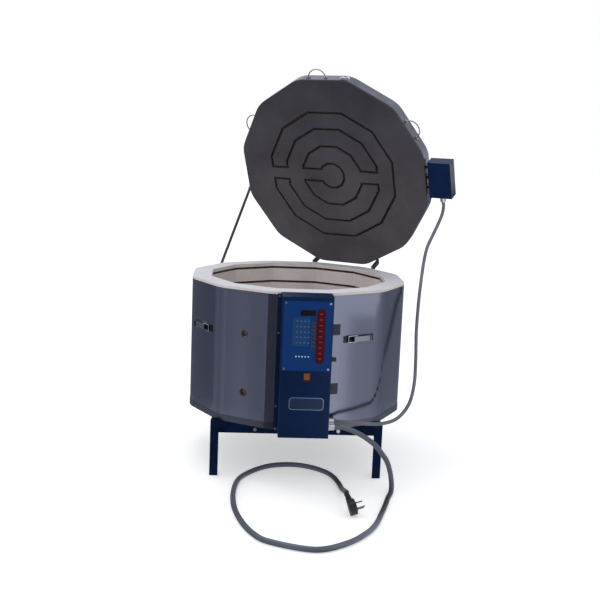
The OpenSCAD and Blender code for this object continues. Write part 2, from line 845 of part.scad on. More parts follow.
module junction_box() {
    color("#0f2a56")
    lid_frame()
    facet(-90)
    translate([junction_x, junction_y, lid_z + 4])
    difference() {
        translate([-junction_w / 2, -junction_d + sheet_t, 0])
        cube([junction_w, junction_d - sheet_t, junction_t]);
        translate([-junction_w / 2 + sheet_t, -junction_d, sheet_t])
        cube([junction_w - 2 * sheet_t, junction_d - sheet_t, junction_t - 2 * sheet_t]);
        for (side = [-1, 1])
            translate([side * junction_lead_x, 1, lid_coil_z - lid_z - 4]) rod_out(lead_d + 6, sheet_t + 2);
        translate([junction_w / 2 - 5, -junction_exit, 26]) rod_x(grip_neck_d + 2 * clear, 10);
    }
}
module junction_cover() {
    color("#16366b")
    lid_frame()
    facet(-90)
    translate([junction_x, junction_y - junction_d + sheet_t, lid_z + 4]) {
        translate([-junction_w / 2, -sheet_t, 0]) cube([junction_w, sheet_t, junction_t]);
        for (x = [-1, 1])
            translate([x * (junction_w / 2 - 8), -sheet_t, junction_t / 2]) rod_out(7, 2);
    }
}

module junction_standoffs() {
    color("#2a2d34")
    lid_frame()
    facet(-90)
    for (x = [-1 : 1])
        translate([junction_x + x * 45, -band_ap, lid_z + 36]) rod_out(12, junction_gap);
}

module junction_connector() {
    color("silver")
    lid_frame()
    facet(-90)
    translate([junction_x + junction_w / 2, junction_y - junction_exit, lid_z + 30]) connector(grip_l);
}

// Hinge: a plate with two ears on the jacket, a rod, and two arms bolted on top of the lid
ear_x = 129;
ear_t = 4;
arm_x = 145;

module hinge_plate() {
    plate_low = hinge_z - 0.22 * jacket_ap;
    color("#4b4e58")
    rotate([0, 0, hinge_az]) {
        difference() {
            union() {
                translate([-ear_x - ear_t, -jacket_ap - 2.5, plate_low])
                cube([2 * (ear_x + ear_t), 2.5, hinge_z - 12 - plate_low]);
                for (side = [-1, 1])
                    translate([side * ear_x - (side < 0 ? ear_t : 0), -hinge_r, 0]) {
                        translate([0, 0, hinge_z]) rod_x(20, ear_t);
                        translate([0, -10, hinge_z - 60]) cube([ear_t, 10 + hinge_out, 60]);
                    }
            }
            translate([-ear_x - 20, -hinge_r, hinge_z]) rod_x(rod_d, 2 * ear_x + 40);
        }
        for (x = [-66, -22, 22, 66])
            for (z = [0.2, 0.7])
                translate([x, -jacket_ap - 2.5, plate_low + z * 0.22 * jacket_ap]) rod_out(9, 2.5);
    }
}

module hinge_rod() {
    color("#b6b8c0")
    rotate([0, 0, hinge_az])
    translate([0, -hinge_r, hinge_z]) {
        translate([-arm_x - 11, 0, 0]) rod_x(rod_d, 2 * arm_x + 22);
        for (side = [-1, 1])
            translate([side * (arm_x + 9) - 3, 0, 0]) rod_x(14, 6);
    }
}

module hinge_arms() {
    color("#4b4e58")
    lid_frame()
    for (side = [0, 1])
        mirror([side, 0, 0])
        difference() {
            union() {
                translate([arm_x, -hinge_r, hinge_z]) rod_x(22, ear_t);
                translate([arm_x, -hinge_r - 8, hinge_z]) cube([ear_t, 28, lid_top - hinge_z + ear_t]);
                translate([arm_x - 40, -hinge_r + 14, lid_top]) cube([40 + ear_t, 0.44 * lid_ap, ear_t]);
            }
            translate([arm_x - 1, -hinge_r, hinge_z]) rod_x(rod_d + 2 * pivot_clear, ear_t + 2);
        }
}

// Brace: a flat bar that pivots on the lid and slides through a turning block on the body.
// Both pivots are equally far from the hinge, so the bar turns half as far as the lid.
brace_r = norm([brace_reach, brace_rise]);
brace_low = 4.1;
brace_x = jacket_ap + 12.3;
lid_pivot = [brace_x, brace_reach - hinge_r, hinge_z + brace_rise];
body_pivot = [brace_x, brace_r * cos(brace_low) - hinge_r, hinge_z - brace_r * sin(brace_low)];
open_pivot_y = brace_reach * cos(lid_open) - brace_rise * sin(lid_open) - hinge_r;
open_pivot_z = brace_reach * sin(lid_open) + brace_rise * cos(lid_open) + hinge_z;
brace_span = norm([open_pivot_y - body_pivot.y, open_pivot_z - body_pivot.z]);
brace_angle = atan2(open_pivot_z - body_pivot.z, open_pivot_y - body_pivot.y);
brace_block_l = 32;
brace_pin_d = 10;
brace_eye_d = 8;
thumb_d = 6;

// Frame at the body's pivot with X out of the wall and Y along the bar, as it stands open
module brace_frame() {
    rotate([0, 0, hinge_az])
    translate(body_pivot)
    rotate([brace_angle, 0, 0])
    children();
}

module brace_post() {
    color("#4b4e58")
    rotate([0, 0, hinge_az])
    difference() {
        translate([jacket_ap - 6, body_pivot.y, body_pivot.z]) {
            rod_x(26, 9);
            rod_x(brace_pin_d, brace_x - jacket_ap + 6 - 2);
        }
        translate([0, 0, body_pivot.z - 20]) linear_extrude(40) polygon(soft_outline(jacket_ap, jacket_r));
    }
}

module brace_guide() {
    color("#31343c")
    brace_frame()
    difference() {
        translate([-9, -brace_block_l / 2, -14]) cube([16, brace_block_l, 28]);
        translate([-clear, -brace_block_l, -brace_w / 2 - clear])
        cube([brace_t + 2 * clear, 2 * brace_block_l, brace_w + 2 * clear]);
        translate([-20, 0, 0]) rod_x(brace_pin_d + 2 * pivot_clear, 18.3);
        rod_x(thumb_d + 2 * pivot_clear, 20);
    }
}

module brace_arm() {
    color("#2c2f37")
    brace_frame()
    difference() {
        union() {
            translate([0, -22, -brace_w / 2]) cube([brace_t, brace_span + 22, brace_w]);
            translate([0, brace_span, 0]) rod_x(brace_w, brace_t);
        }
        translate([-1, brace_span, 0]) rod_x(brace_eye_d + 2 * pivot_clear, brace_t + 2);
    }
}

module brace_screw() {
    color("#1d1e22")
    brace_frame() {
        translate([brace_t + clear, 0, 0]) rod_x(thumb_d, 10);
        translate([11, 0, 0]) rod_x(16, 6);
        translate([17, -12, -2]) cube([9, 24, 4]);
    }
}

module brace_pivot_bolt() {
    color("#8f929c")
    lid_frame()
    difference() {
        translate([band_ap - 6, lid_pivot.y, lid_pivot.z]) {
            rod_x(16, brace_x - band_ap + 6 - clear);
            rod_x(brace_eye_d, brace_x - band_ap + 6 + brace_t + 2 * clear);
            translate([brace_x - band_ap + 6 + brace_t + clear, 0, 0]) rod_x(15, 4.5);
        }
        translate([0, 0, lid_z]) linear_extrude(lid_t) polygon(soft_outline(band_ap, band_r));
    }
}

// Draw latches on the jacket: a keeper, a base with ears and a pin, a lever and a wire loop
latch_z = stand_h + latch_up;
latch_lift = 8;
latch_pin_d = 4;
latch_pin_x = -20;
latch_base_t = 1.6;
ear_half = latch_w / 2 - 4;

module latch_frame(az, left) {
    facet(az)
    mirror([left, 0, 0])
    translate([latch_pin_x, -jacket_ap, latch_z])
    children();
}

module latch_plates(az, left) {
    keeper_x = latch_throw - latch_loop_l + latch_wire_d / 2 + clear;
    color("#3c3f48")
    latch_frame(az, left) {
        translate([keeper_x - 20, -latch_base_t, -13]) cube([24, latch_base_t, 26]);
        translate([keeper_x, -latch_lift - 4, -9]) cube([2, latch_lift + 4, 18]);
        translate([-8, -latch_base_t, -13]) cube([latch_lever_l + 25, latch_base_t, 26]);
        for (side = [-1, 1])
            translate([-4, -latch_lift - 4, side * (ear_half + 0.8) - 0.8]) cube([8, latch_lift + 4, 1.6]);
        translate([0, -latch_lift, -latch_w / 2]) cylinder(d = latch_pin_d, h = latch_w);
        for (x = [latch_lever_l + 10, keeper_x - 12])
            translate([x, -latch_base_t, 0]) rod_out(8, 2.2);
    }
}

module latch_lever(az, left) {
    color("#5a5d68")
    latch_frame(az, left)
    difference() {
        union() {
            for (side = [-1, 1])
                translate([-4, -14, side * (latch_w / 2 - 0.8) - 0.8]) cube([latch_lever_l, 9, 1.6]);
            translate([-4, -15.6, -latch_w / 2]) cube([latch_lever_l, 1.6, latch_w]);
            translate([latch_lever_l - 5.6, -20, -latch_w / 2]) cube([1.6, 5, latch_w]);
        }
        translate([0, -latch_lift, -latch_w])
        cylinder(d = latch_pin_d + 2 * pivot_clear, h = 2 * latch_w);
        translate([latch_throw, -latch_lift, -latch_w])
        cylinder(d = latch_wire_d + 2 * pivot_clear, h = 2 * latch_w);
    }
}

module latch_loop(az, left) {
    arm_z = latch_w / 2 + 2;
    color("#c9ccd4")
    latch_frame(az, left)
    translate([latch_throw, -latch_lift, 0]) {
        for (side = [-1, 1]) {
            translate([-latch_loop_l, 0, side * arm_z]) rod_x(latch_wire_d, latch_loop_l);
            translate([0, 0, side * arm_z]) sphere(d = latch_wire_d);
            translate([-latch_loop_l, 0, side * arm_z]) sphere(d = latch_wire_d);
            mirror([0, 0, side < 0 ? 1 : 0])
            translate([0, 0, arm_z - 3.6]) cylinder(d = latch_wire_d, h = 3.6);
        }
        translate([-latch_loop_l, 0, -arm_z]) cylinder(d = latch_wire_d, h = 2 * arm_z);
    }
}

// Cables: routes through hand-placed points, from the connectors outwards
floor_cord_z = cord_d / 2;
plug_t = plug_d / 2;
plug_turn = 5;
plug_lean = 17;
plug_rise = 15;
plug_reach = 1.04 * plug_d;
plug_at = [186, -728, plug_d / 2 * cos(plug_lean) + plug_t / 2 * sin(plug_lean)];
function in_plug(p) =
    plug_at + turn_z([-p.z * sin(plug_lean), p.y, p.z * cos(plug_lean)], plug_turn);
plug_neck = in_plug(plug_reach * [0, cos(plug_rise), sin(plug_rise)]);
plug_line = unit(plug_neck - plug_at);
cable_start = [junction_y - junction_exit, -junction_x - junction_w / 2 - grip_l, lid_z + 30];
cable_route = [
    open_lid(cable_start - [0, clear, 0]),
    open_lid(cable_start - [0, 11, 0]),
    open_lid(cable_start - [0, 25, 0]),
    [604, 74, 1025], [587, 66, 982], [563, 48, 934], [541, 30, 888], [525, 0, 830],
    [508, -55, 755], [494, -105, 670], [487, -135, 560], [486, -165, 450], [473, -235, 365],
    [440, -325, 305], [384, -400, 268], [315, -440, 257], [230, -458, 262],
    [box_edge + grip_l + 30, -grip_at[1].x, box_z + grip_at[1].y],
    [box_edge + grip_l + 12, -grip_at[1].x, box_z + grip_at[1].y],
    [box_edge + grip_l + clear, -grip_at[1].x, box_z + grip_at[1].y]
];
cord_route = [
    [box_edge + grip_l + clear, -grip_at[0].x, box_z + grip_at[0].y],
    [box_edge + grip_l + 14, -grip_at[0].x, box_z + grip_at[0].y],
    [box_edge + grip_l + 34, -grip_at[0].x, box_z + grip_at[0].y],
    [213, -500, 240], [255, -497, 216], [294, -488, 184], [320, -476, 150],
    [343, -466, 116], [357, -460, 78], [364, -460, 46], [365, -476, 23], [360, -502, 12],
    for (v = [[353, -530], [338, -573], [318, -645], [293, -727], [261, -825], [218, -906], [143, -992],
              [33, -1047], [-111, -992], [-166, -932], [-209, -824], [-237, -685], [-241, -532],
              [-220, -395], [-160, -297], [-92, -239], [-9, -222], [63, -246], [122, -300],
              [150, -356], [165, -424], [171, -490]])
        [v.x, v.y, floor_cord_z],
    [171, -535, 12], [169, -580, 25], [169, -617, 41],
    plug_neck + 26 * plug_line,
    plug_neck + 12 * plug_line,
    plug_neck + clear * plug_line
];

module lid_cable() {
    color("#555b66")
    tube(route_curve(cable_route, 3), cable_d, [1, -1, 0]);
}

module power_cord() {
    color("#4a4f59")
    tube([for (p = route_curve(cord_route, 2)) [p.x, p.y, max(p.z, floor_cord_z)]], cord_d, [0.01, 0.02, 1]);
}

// Right-angle plug that leans on its rim: a flat drop-shaped body with a tapered neck for the cord
module plug_frame() {
    translate(plug_at) rotate([0, -plug_lean, plug_turn]) children();
}

module plug_body() {
    end_r = cord_d / 2 + 3;
    end_y = plug_d / 2 + 2;
    touch = acos((plug_d / 2 - end_r) / end_y);
    color("#2b2d33")
    plug_frame() {
        rotate([plug_rise, 0, 0]) {
            intersection() {
                rotate([90, 0, 90])
                linear_extrude(plug_t, center = true)
                polygon(concat(
                    [for (j = [0 : 24])
                        let (a = touch + (360 - 2 * touch) * j / 24)
                        plug_d / 2 * [cos(a), sin(a)]],
                    [for (j = [0 : 6])
                        let (a = -touch + 2 * touch * j / 6)
                        [end_y, 0] + end_r * [cos(a), sin(a)]]));
                linear_extrude(plug_d + 2, center = true)
                polygon([[-plug_t / 2 + 4, -plug_d / 2 - 1], [plug_t / 2 - 4, -plug_d / 2 - 1],
                         [plug_t / 2, -plug_d / 2 + 7], [plug_t / 2, plug_d / 4],
                         [end_r - 1, end_y + end_r], [1 - end_r, end_y + end_r],
                         [-plug_t / 2, plug_d / 4], [-plug_t / 2, -plug_d / 2 + 7]]);
            }
            translate([0, end_y + 6, 0])
            rotate([-90, 0, 0])
            cylinder(d1 = 2 * end_r - 2, d2 = cord_d + 2, h = plug_reach - end_y - 6);
        }
        translate([plug_t / 2 - 1, 0, 0]) rod_x(plug_d - 16, 3);
    }
}

module plug_prongs() {
    color("#c9a24a")
    plug_frame()
    translate([plug_t / 2 + 2 + clear, 0, 0]) {
        for (side = [-1, 1])
            translate([0, -4, side * 12.5 - 0.9]) cube([24, 8, 1.8]);
        translate([0, -14, -2]) rod_x(5.5, 28);
    }
}

leg(0, 0);  // leg_front_left
leg(1, 0);  // leg_front_right
leg(0, 1);  // leg_back_left
leg(1, 1);  // leg_back_right
stand_rails();
cross_bars();
stand_bolts();
base_pan();
floor_slab();
brick_row(0);  // brick_row_lower
brick_row(1);  // brick_row_upper
elements(0);  // elements_lower
elements(1);  // elements_upper
element_bushings();
thermocouple();
jacket();
control_box();
box_screws();
box_hinges();
controller_plate();
plate_screws();
display_window();
keypad();
controller_board();
rocker_bezel();
rocker();
fuse_holder();
fuse_cap();
cord_connectors();
relays();
transformer();
lid_slab();
lid_band();
lid_band_clamp();
lid_element();
handle(180, -handle_shift);  // handle_front
handle(120, 0);  // handle_left
handle(-120, 0);  // handle_right
junction_box();
junction_cover();
junction_standoffs();
junction_connector();
hinge_plate();
hinge_rod();
hinge_arms();
brace_post();
brace_guide();
brace_arm();
brace_screw();
brace_pivot_bolt();
latch_plates(30, 0);  // latch_right_plates
latch_lever(30, 0);  // latch_right_lever
latch_loop(30, 0);  // latch_right_loop
latch_plates(-60, 1);  // latch_left_plates
latch_lever(-60, 1);  // latch_left_lever
latch_loop(-60, 1);  // latch_left_loop
lid_cable();
power_cord();
plug_body();
plug_prongs();
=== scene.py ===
"""Top-loading twelve-sided glass kiln with its lid propped open: the looks, piece by piece."""
import math
import bmesh
import bpy
from mathutils import Matrix, Vector


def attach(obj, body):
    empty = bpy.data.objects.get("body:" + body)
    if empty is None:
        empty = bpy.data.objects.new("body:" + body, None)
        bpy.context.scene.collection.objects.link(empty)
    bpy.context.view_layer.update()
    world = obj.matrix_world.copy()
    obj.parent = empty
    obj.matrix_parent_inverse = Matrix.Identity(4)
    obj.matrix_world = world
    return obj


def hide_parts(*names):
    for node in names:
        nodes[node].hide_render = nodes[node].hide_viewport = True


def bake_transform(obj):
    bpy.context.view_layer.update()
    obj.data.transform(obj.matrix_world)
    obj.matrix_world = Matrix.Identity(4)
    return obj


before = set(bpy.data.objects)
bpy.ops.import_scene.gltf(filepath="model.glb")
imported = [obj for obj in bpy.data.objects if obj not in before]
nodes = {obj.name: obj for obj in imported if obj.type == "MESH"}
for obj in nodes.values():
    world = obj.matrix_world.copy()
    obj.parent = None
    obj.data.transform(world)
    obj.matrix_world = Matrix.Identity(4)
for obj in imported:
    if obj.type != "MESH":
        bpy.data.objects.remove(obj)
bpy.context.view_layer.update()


# Camera: a slightly long lens at chest height, a little left of the control box and rolled
# by two degrees, as the photograph was taken. The render is square, as the photograph is.
PHOTO_PX = 600
FOCAL_PX = 993.53
SENSOR_MM = 36
EYE = Vector((-0.2375, -4.0912, 1.3643))
yaw, dip, roll = (math.radians(a) for a in (-3.498, 9.847, 2.343))
forward = Vector((-math.sin(yaw), math.cos(yaw), 0))
level = Vector((math.cos(yaw), math.sin(yaw), 0))
up = Vector((0, 0, 1))
aim = forward * math.cos(dip) - up * math.sin(dip)
rise = up * math.cos(dip) + forward * math.sin(dip)
right = level * math.cos(roll) + rise * math.sin(roll)
top = rise * math.cos(roll) - level * math.sin(roll)
eye_data = bpy.data.cameras.new("camera")
eye_data.sensor_width = SENSOR_MM
eye_data.lens = FOCAL_PX * SENSOR_MM / PHOTO_PX
eye_data.clip_end = 100
camera = bpy.data.objects.new("camera", eye_data)
camera.matrix_world = Matrix((
    (right.x, top.x, -aim.x, EYE.x),
    (right.y, top.y, -aim.y, EYE.y),
    (right.z, top.z, -aim.z, EYE.z),
    (0, 0, 0, 1)))
bpy.context.collection.objects.link(camera)
bpy.context.scene.camera = camera


# Cables: two rubber-sheathed leads of round section, extruded in one length each. The thick
# one is the mains lead in a loose loop on the floor, the thinner one feeds the lid's coil.
SHEATH_ROUGH = 0.42
MAINS_THICK = 0.020
LEAD_THICK = 0.014
STEPS_BETWEEN = 6
CORD_SHADE_AT = (0.172, -0.58, 0.03)
CORD_SHADE_REACH = 0.26


def linear(code):
    """Scene colour of an sRGB hex value."""
    parts = [int(code[i:i + 2], 16) / 255 for i in (0, 2, 4)]
    return (*(c / 12.92 if c < 0.04045 else ((c + 0.055) / 1.055) ** 2.4 for c in parts), 1)


def put(tree, kind, links=(), **settings):
    """Adds a shader node, with its settings and links from other nodes' outputs."""
    node = tree.nodes.new(kind)
    for name, value in settings.items():
        if hasattr(node, name):
            setattr(node, name, value)
        else:
            node.inputs[name.replace("_", " ")].default_value = value
    for socket, source in links:
        tree.links.new(source, node.inputs[socket])
    return node


def finish_of(name, color, rough, metal=0.0, ior=None):
    """A plain finish with its node tree and shader, for the section to build on."""
    mat = bpy.data.materials.new(name)
    mat.use_nodes = True
    shader = mat.node_tree.nodes["Principled BSDF"]
    shader.inputs["Base Color"].default_value = linear(color)
    shader.inputs["Roughness"].default_value = rough
    shader.inputs["Metallic"].default_value = metal
    if ior:
        shader.inputs["IOR"].default_value = ior
    return mat, mat.node_tree, shader


def mottle(tree, shader, size, low, high, dark, light, detail=4.0):
    """Clouds of two colours on a finish, each cloud about size metres across."""
    place = put(tree, "ShaderNodeTexCoord")
    cloud = put(tree, "ShaderNodeTexNoise", [("Vector", place.outputs["Object"])],
                Scale=1 / size, Detail=detail)
    ramp = put(tree, "ShaderNodeValToRGB", [("Fac", cloud.outputs["Fac"])])
    ramp.color_ramp.elements[0].position = low
    ramp.color_ramp.elements[0].color = linear(dark)
    ramp.color_ramp.elements[1].position = high
    ramp.color_ramp.elements[1].color = linear(light)
    tree.links.new(ramp.outputs["Color"], shader.inputs["Base Color"])
    return cloud, ramp


# synthetic rubber, extruded: dull grey with a soft sheen and faint handling marks
rubber, tree, shader = finish_of("extruded rubber sheath", "6a6d76", SHEATH_ROUGH, ior=1.5)
mottle(tree, shader, 0.09, 0.35, 0.7, "5f626b", "74777f")

# the same rubber on the mains lead: a little bluer, and darkened towards the plug as painted shade
mains_rubber, tree, shader = finish_of("extruded mains rubber", "5a606d", SHEATH_ROUGH, ior=1.5)
_, ramp = mottle(tree, shader, 0.35, 0.35, 0.65, "4c525e", "6c7483")
# painted shade: the lead goes near black close to the plug and fades back over about a quarter
# metre
place = put(tree, "ShaderNodeTexCoord")
near = put(tree, "ShaderNodeMapping", [("Vector", place.outputs["Object"])],
           vector_type="TEXTURE", Location=CORD_SHADE_AT, Scale=(CORD_SHADE_REACH,) * 3)
cord_shade = put(tree, "ShaderNodeTexGradient", [("Vector", near.outputs["Vector"])],
            gradient_type="SPHERICAL")
spread = put(tree, "ShaderNodeValToRGB", [("Fac", cord_shade.outputs["Fac"])])
spread.color_ramp.elements[1].position = 0.4
shaded_cord = put(tree, "ShaderNodeMix", [("Factor", spread.outputs["Color"])], data_type="RGBA")
tree.links.new(ramp.outputs["Color"], shaded_cord.inputs["A"])
shaded_cord.inputs["B"].default_value = linear("1c1d21")
tree.links.new(shaded_cord.outputs["Result"], shader.inputs["Base Color"])


def through(points):
    """Smooth line through given points, as the CAD tube follows it."""
    line = []
    pts = [Vector(p) for p in points]
    for i in range(len(pts) - 1):
        a, b, c, d = pts[max(i - 1, 0)], pts[i], pts[i + 1], pts[min(i + 2, len(pts) - 1)]
        for j in range(STEPS_BETWEEN):
            t = j / STEPS_BETWEEN
            line.append(0.5 * (2 * b + (c - a) * t + (2 * a - 5 * b + 4 * c - d) * t * t
                               + (3 * b - 3 * c + d - a) * t ** 3))
    line.append(pts[-1])
    return line


def sheath(name, points, thick, mat):
    """Round cable along a smooth line, as a curve of one spline, and that line."""
    line = through(points)
    data = bpy.data.curves.new(name, "CURVE")
    data.dimensions = "3D"
    data.bevel_depth = thick / 2
    data.bevel_resolution = 4
    data.use_fill_caps = True
    spline = data.splines.new("POLY")
    spline.points.add(len(line) - 1)
    for point, place in zip(spline.points, line):
        point.co = (place.x, place.y, max(place.z, thick / 2), 1)
    spline.use_smooth = True
    data.materials.append(mat)
    cable = bpy.data.objects.new(name, data)
    bpy.context.collection.objects.link(cable)
    return cable, line


# the mains lead leaves the box, drops to the floor, runs one loop and rises to the plug
FLOOR = 0.010
MAINS = [
    (0.1313, -0.497, 0.2566), (0.145, -0.497, 0.2566), (0.165, -0.497, 0.2566),
    (0.213, -0.500, 0.240), (0.255, -0.497, 0.216), (0.294, -0.488, 0.184),
    (0.320, -0.476, 0.150), (0.343, -0.466, 0.116), (0.357, -0.460, 0.078),
    (0.364, -0.460, 0.046), (0.365, -0.476, 0.023), (0.360, -0.502, 0.012),
    (0.353, -0.530, FLOOR), (0.338, -0.573, FLOOR), (0.318, -0.645, FLOOR),
    (0.293, -0.727, FLOOR), (0.261, -0.825, FLOOR), (0.218, -0.906, FLOOR),
    (0.143, -0.992, FLOOR), (0.033, -1.047, FLOOR), (-0.111, -0.992, FLOOR),
    (-0.166, -0.932, FLOOR), (-0.209, -0.824, FLOOR), (-0.237, -0.685, FLOOR),
    (-0.241, -0.532, FLOOR), (-0.220, -0.395, FLOOR), (-0.160, -0.297, FLOOR),
    (-0.092, -0.239, FLOOR), (-0.009, -0.222, FLOOR), (0.063, -0.246, FLOOR),
    (0.122, -0.300, FLOOR), (0.150, -0.356, FLOOR), (0.165, -0.424, FLOOR),
    (0.171, -0.490, 0.013), (0.174, -0.535, 0.022), (0.1755, -0.580, 0.034),
    (0.1755, -0.617, 0.0455), (0.17256, -0.6475, 0.05172), (0.17479, -0.66087, 0.04825),
    (0.17666, -0.67206, 0.04536)]
power_cord, mains_line = sheath("power_cord_rubber", MAINS, MAINS_THICK, mains_rubber)
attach(power_cord, "kiln")
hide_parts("power_cord")

# the lid's lead hangs from the junction box, drops beside the jacket and enters the box.
LID_LEAD = [
    (0.60332, 0.06359, 1.08234), (0.60533, 0.06706, 1.07242), (0.60795, 0.07160, 1.05944),
    (0.604, 0.074, 1.025), (0.587, 0.066, 0.982), (0.563, 0.048, 0.934),
    (0.541, 0.030, 0.888), (0.525, 0.000, 0.830), (0.508, -0.055, 0.755),
    (0.494, -0.105, 0.670), (0.487, -0.135, 0.560), (0.486, -0.165, 0.450),
    (0.473, -0.235, 0.365), (0.440, -0.325, 0.305), (0.384, -0.400, 0.268),
    (0.315, -0.440, 0.257), (0.230, -0.458, 0.262), (0.161, -0.462, 0.2686),
    (0.143, -0.462, 0.2686), (0.1313, -0.462, 0.2686)]
curve, lead_line = sheath("lid_cable_curve", LID_LEAD, LEAD_THICK, rubber)
bpy.context.view_layer.update()
drawn = curve.evaluated_get(bpy.context.evaluated_depsgraph_get())
lead_mesh = bpy.data.meshes.new_from_object(drawn)
bpy.data.objects.remove(curve)
lid_cable = bpy.data.objects.new("lid_cable_rubber", lead_mesh)
bpy.context.collection.objects.link(lid_cable)
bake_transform(lid_cable)
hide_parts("lid_cable")


# Stand: four legs and a frame of angle iron, welded, with two bolted cross bars under the pan.
# The steel is painted dark blue, and the bolts are zinc plated.
def dress(name, mat):
    """Gives a CAD node its finish."""
    data = nodes[name].data
    data.materials.clear()
    data.materials.append(mat)


# enamel on steel, sprayed: deep blue, half dull, with a little orange peel
stand_blue, tree, shader = finish_of("sprayed blue enamel on angle iron", "07193c", 0.45, ior=1.15)
cloud, _ = mottle(tree, shader, 0.05, 0.3, 0.75, "050f2a", "092147")
peel = put(tree, "ShaderNodeBump", [("Height", cloud.outputs["Fac"])], Distance=0.0004)
tree.links.new(peel.outputs["Normal"], shader.inputs["Normal"])
for part in ("leg_front_left", "leg_front_right", "leg_back_left", "leg_back_right",
             "stand_rails", "cross_bars"):
    dress(part, stand_blue)

# zinc on steel, plated: bright, slightly blue, with a fine frost
zinc, tree, shader = finish_of("bright zinc plate", "c6c9d0", 0.28, metal=1.0)
mottle(tree, shader, 0.004, 0.3, 0.7, "b4b8c2", "d4d7dc")
dress("stand_bolts", zinc)


# Body: firebrick rows on a floor slab, wrapped in a polished stainless jacket that is hemmed
# by a folded pan at the bottom. The coils lie in grooves cut in the brick.
PEEPHOLE_AT = (-0.2155, -0.3732)
PEEPHOLE_HEIGHTS = (0.3512, 0.5798)
BORE_SHADE_REACH = 0.028
PORES_PER_METRE = 260.0
LOOKS_THAT_WAY = 0.95

# stainless sheet, mirror polished: its colour is dimmed and tinted blue as a painted reflection
# of a dim, bluish room, with upright polishing marks about 9 mm apart, drawn coarser than the
# real ones so that they show
jacket_steel, tree, shader = finish_of("mirror-polished stainless sheet", "767a8b", 0.14, metal=1.0)
place = put(tree, "ShaderNodeTexCoord")
sweep = put(tree, "ShaderNodeMapping", [("Vector", place.outputs["Object"])], Scale=(14, 14, 0.6))
grain = put(tree, "ShaderNodeTexNoise", [("Vector", sweep.outputs["Vector"])],
            Scale=8.0, Detail=3.0)
marks = put(tree, "ShaderNodeBump", [("Height", grain.outputs["Fac"])], Distance=0.00003)
tree.links.new(marks.outputs["Normal"], shader.inputs["Normal"])
dress("jacket", jacket_steel)

# stainless sheet, folded and left satin: a darker, softer grey than the jacket
pan_steel, *_ = finish_of("folded satin stainless", "61646f", 0.3, metal=1.0)
dress("base_pan", pan_steel)

# insulating firebrick, sawn dry: cream, with painted shade in the peephole bores, dark brown
# and fading out just past their rims, with pores about 4 mm apart, coarser than the real ones
# so that they show
firebrick, tree, shader = finish_of("sawn insulating firebrick", "d9cfc8", 0.95)
place = put(tree, "ShaderNodeTexCoord")
pores = put(tree, "ShaderNodeTexNoise", [("Vector", place.outputs["Object"])],
            Scale=PORES_PER_METRE, Detail=5.0)
stain = put(tree, "ShaderNodeTexNoise", [("Vector", place.outputs["Object"])],
            Scale=9.0, Detail=3.0)
cream = put(tree, "ShaderNodeValToRGB", [("Fac", stain.outputs["Fac"])])
cream.color_ramp.elements[0].position = 0.3
cream.color_ramp.elements[0].color = linear("d6cbc8")
cream.color_ramp.elements[1].position = 0.7
cream.color_ramp.elements[1].color = linear("e4dcda")
# painted shade: the bores of both peepholes, holes in shadow, drawn dark brown round their centres
bore_shades = []
for height in PEEPHOLE_HEIGHTS:
    centre = put(tree, "ShaderNodeMapping", [("Vector", place.outputs["Object"])],
                 vector_type="TEXTURE", Location=(*PEEPHOLE_AT, height),
                 Scale=(BORE_SHADE_REACH,) * 3)
    bore_shades.append(put(tree, "ShaderNodeTexGradient", [("Vector", centre.outputs["Vector"])],
                     gradient_type="SPHERICAL"))
bore_shade = put(tree, "ShaderNodeMath", [(0, bore_shades[0].outputs["Fac"]), (1, bore_shades[1].outputs["Fac"])],
             operation="MAXIMUM")
spread = put(tree, "ShaderNodeValToRGB", [("Fac", bore_shade.outputs[0])])
spread.color_ramp.elements[1].position = 0.35
shaded_bores = put(tree, "ShaderNodeMix", [("Factor", spread.outputs["Color"])], data_type="RGBA")
tree.links.new(cream.outputs["Color"], shaded_bores.inputs["A"])
shaded_bores.inputs["B"].default_value = linear("54443e")
tree.links.new(shaded_bores.outputs["Result"], shader.inputs["Base Color"])
pitted = put(tree, "ShaderNodeBump", [("Height", pores.outputs["Fac"])], Distance=0.0008)
tree.links.new(pitted.outputs["Normal"], shader.inputs["Normal"])
for part in ("floor_slab", "brick_row_lower", "brick_row_upper"):
    dress(part, firebrick)


def second_finish(name, mat, toward):
    """Gives a second finish to the faces of a CAD node that look one way."""
    data = nodes[name].data
    data.materials.append(mat)
    turned = nodes[name].matrix_world.to_3x3()
    for face in data.polygons:
        if (turned @ face.normal).dot(toward) > LOOKS_THAT_WAY:
            face.material_index = 1


# the same firebrick on the upward faces of the rim as a lit copy: paler and cooler in tone as
# painted skylight, and even
sky_lit_rim_brick, tree, shader = finish_of("sawn firebrick rim, painted skylight", "dcdae0", 0.95)
mottle(tree, shader, 0.11, 0.3, 0.7, "d8d6dc", "e0dee4", detail=3.0)
place = put(tree, "ShaderNodeTexCoord")
pores = put(tree, "ShaderNodeTexNoise", [("Vector", place.outputs["Object"])],
            Scale=PORES_PER_METRE, Detail=5.0)
pitted = put(tree, "ShaderNodeBump", [("Height", pores.outputs["Fac"])], Distance=0.0008)
tree.links.new(pitted.outputs["Normal"], shader.inputs["Normal"])
second_finish("brick_row_upper", sky_lit_rim_brick, up)

# iron-chromium wire, fired: a dull brown oxide over the coils
oxide, tree, shader = finish_of("fired heating wire", "4a3c34", 0.7, metal=0.4)
mottle(tree, shader, 0.01, 0.3, 0.7, "3a2f29", "5d4c42")
for part in ("elements_lower", "elements_upper"):
    dress(part, oxide)

# porcelain, pressed and fired without glaze: off-white with a faint sheen
porcelain, *_ = finish_of("unglazed porcelain", "e9e4da", 0.5, ior=1.5)
for part in ("element_bushings", "thermocouple"):
    dress(part, porcelain)


# Control box: folded steel painted dark blue, screwed to the jacket by a flange. It holds a
# controller behind a lighter plate, a rocker switch, a fuse and the connectors of both cables.

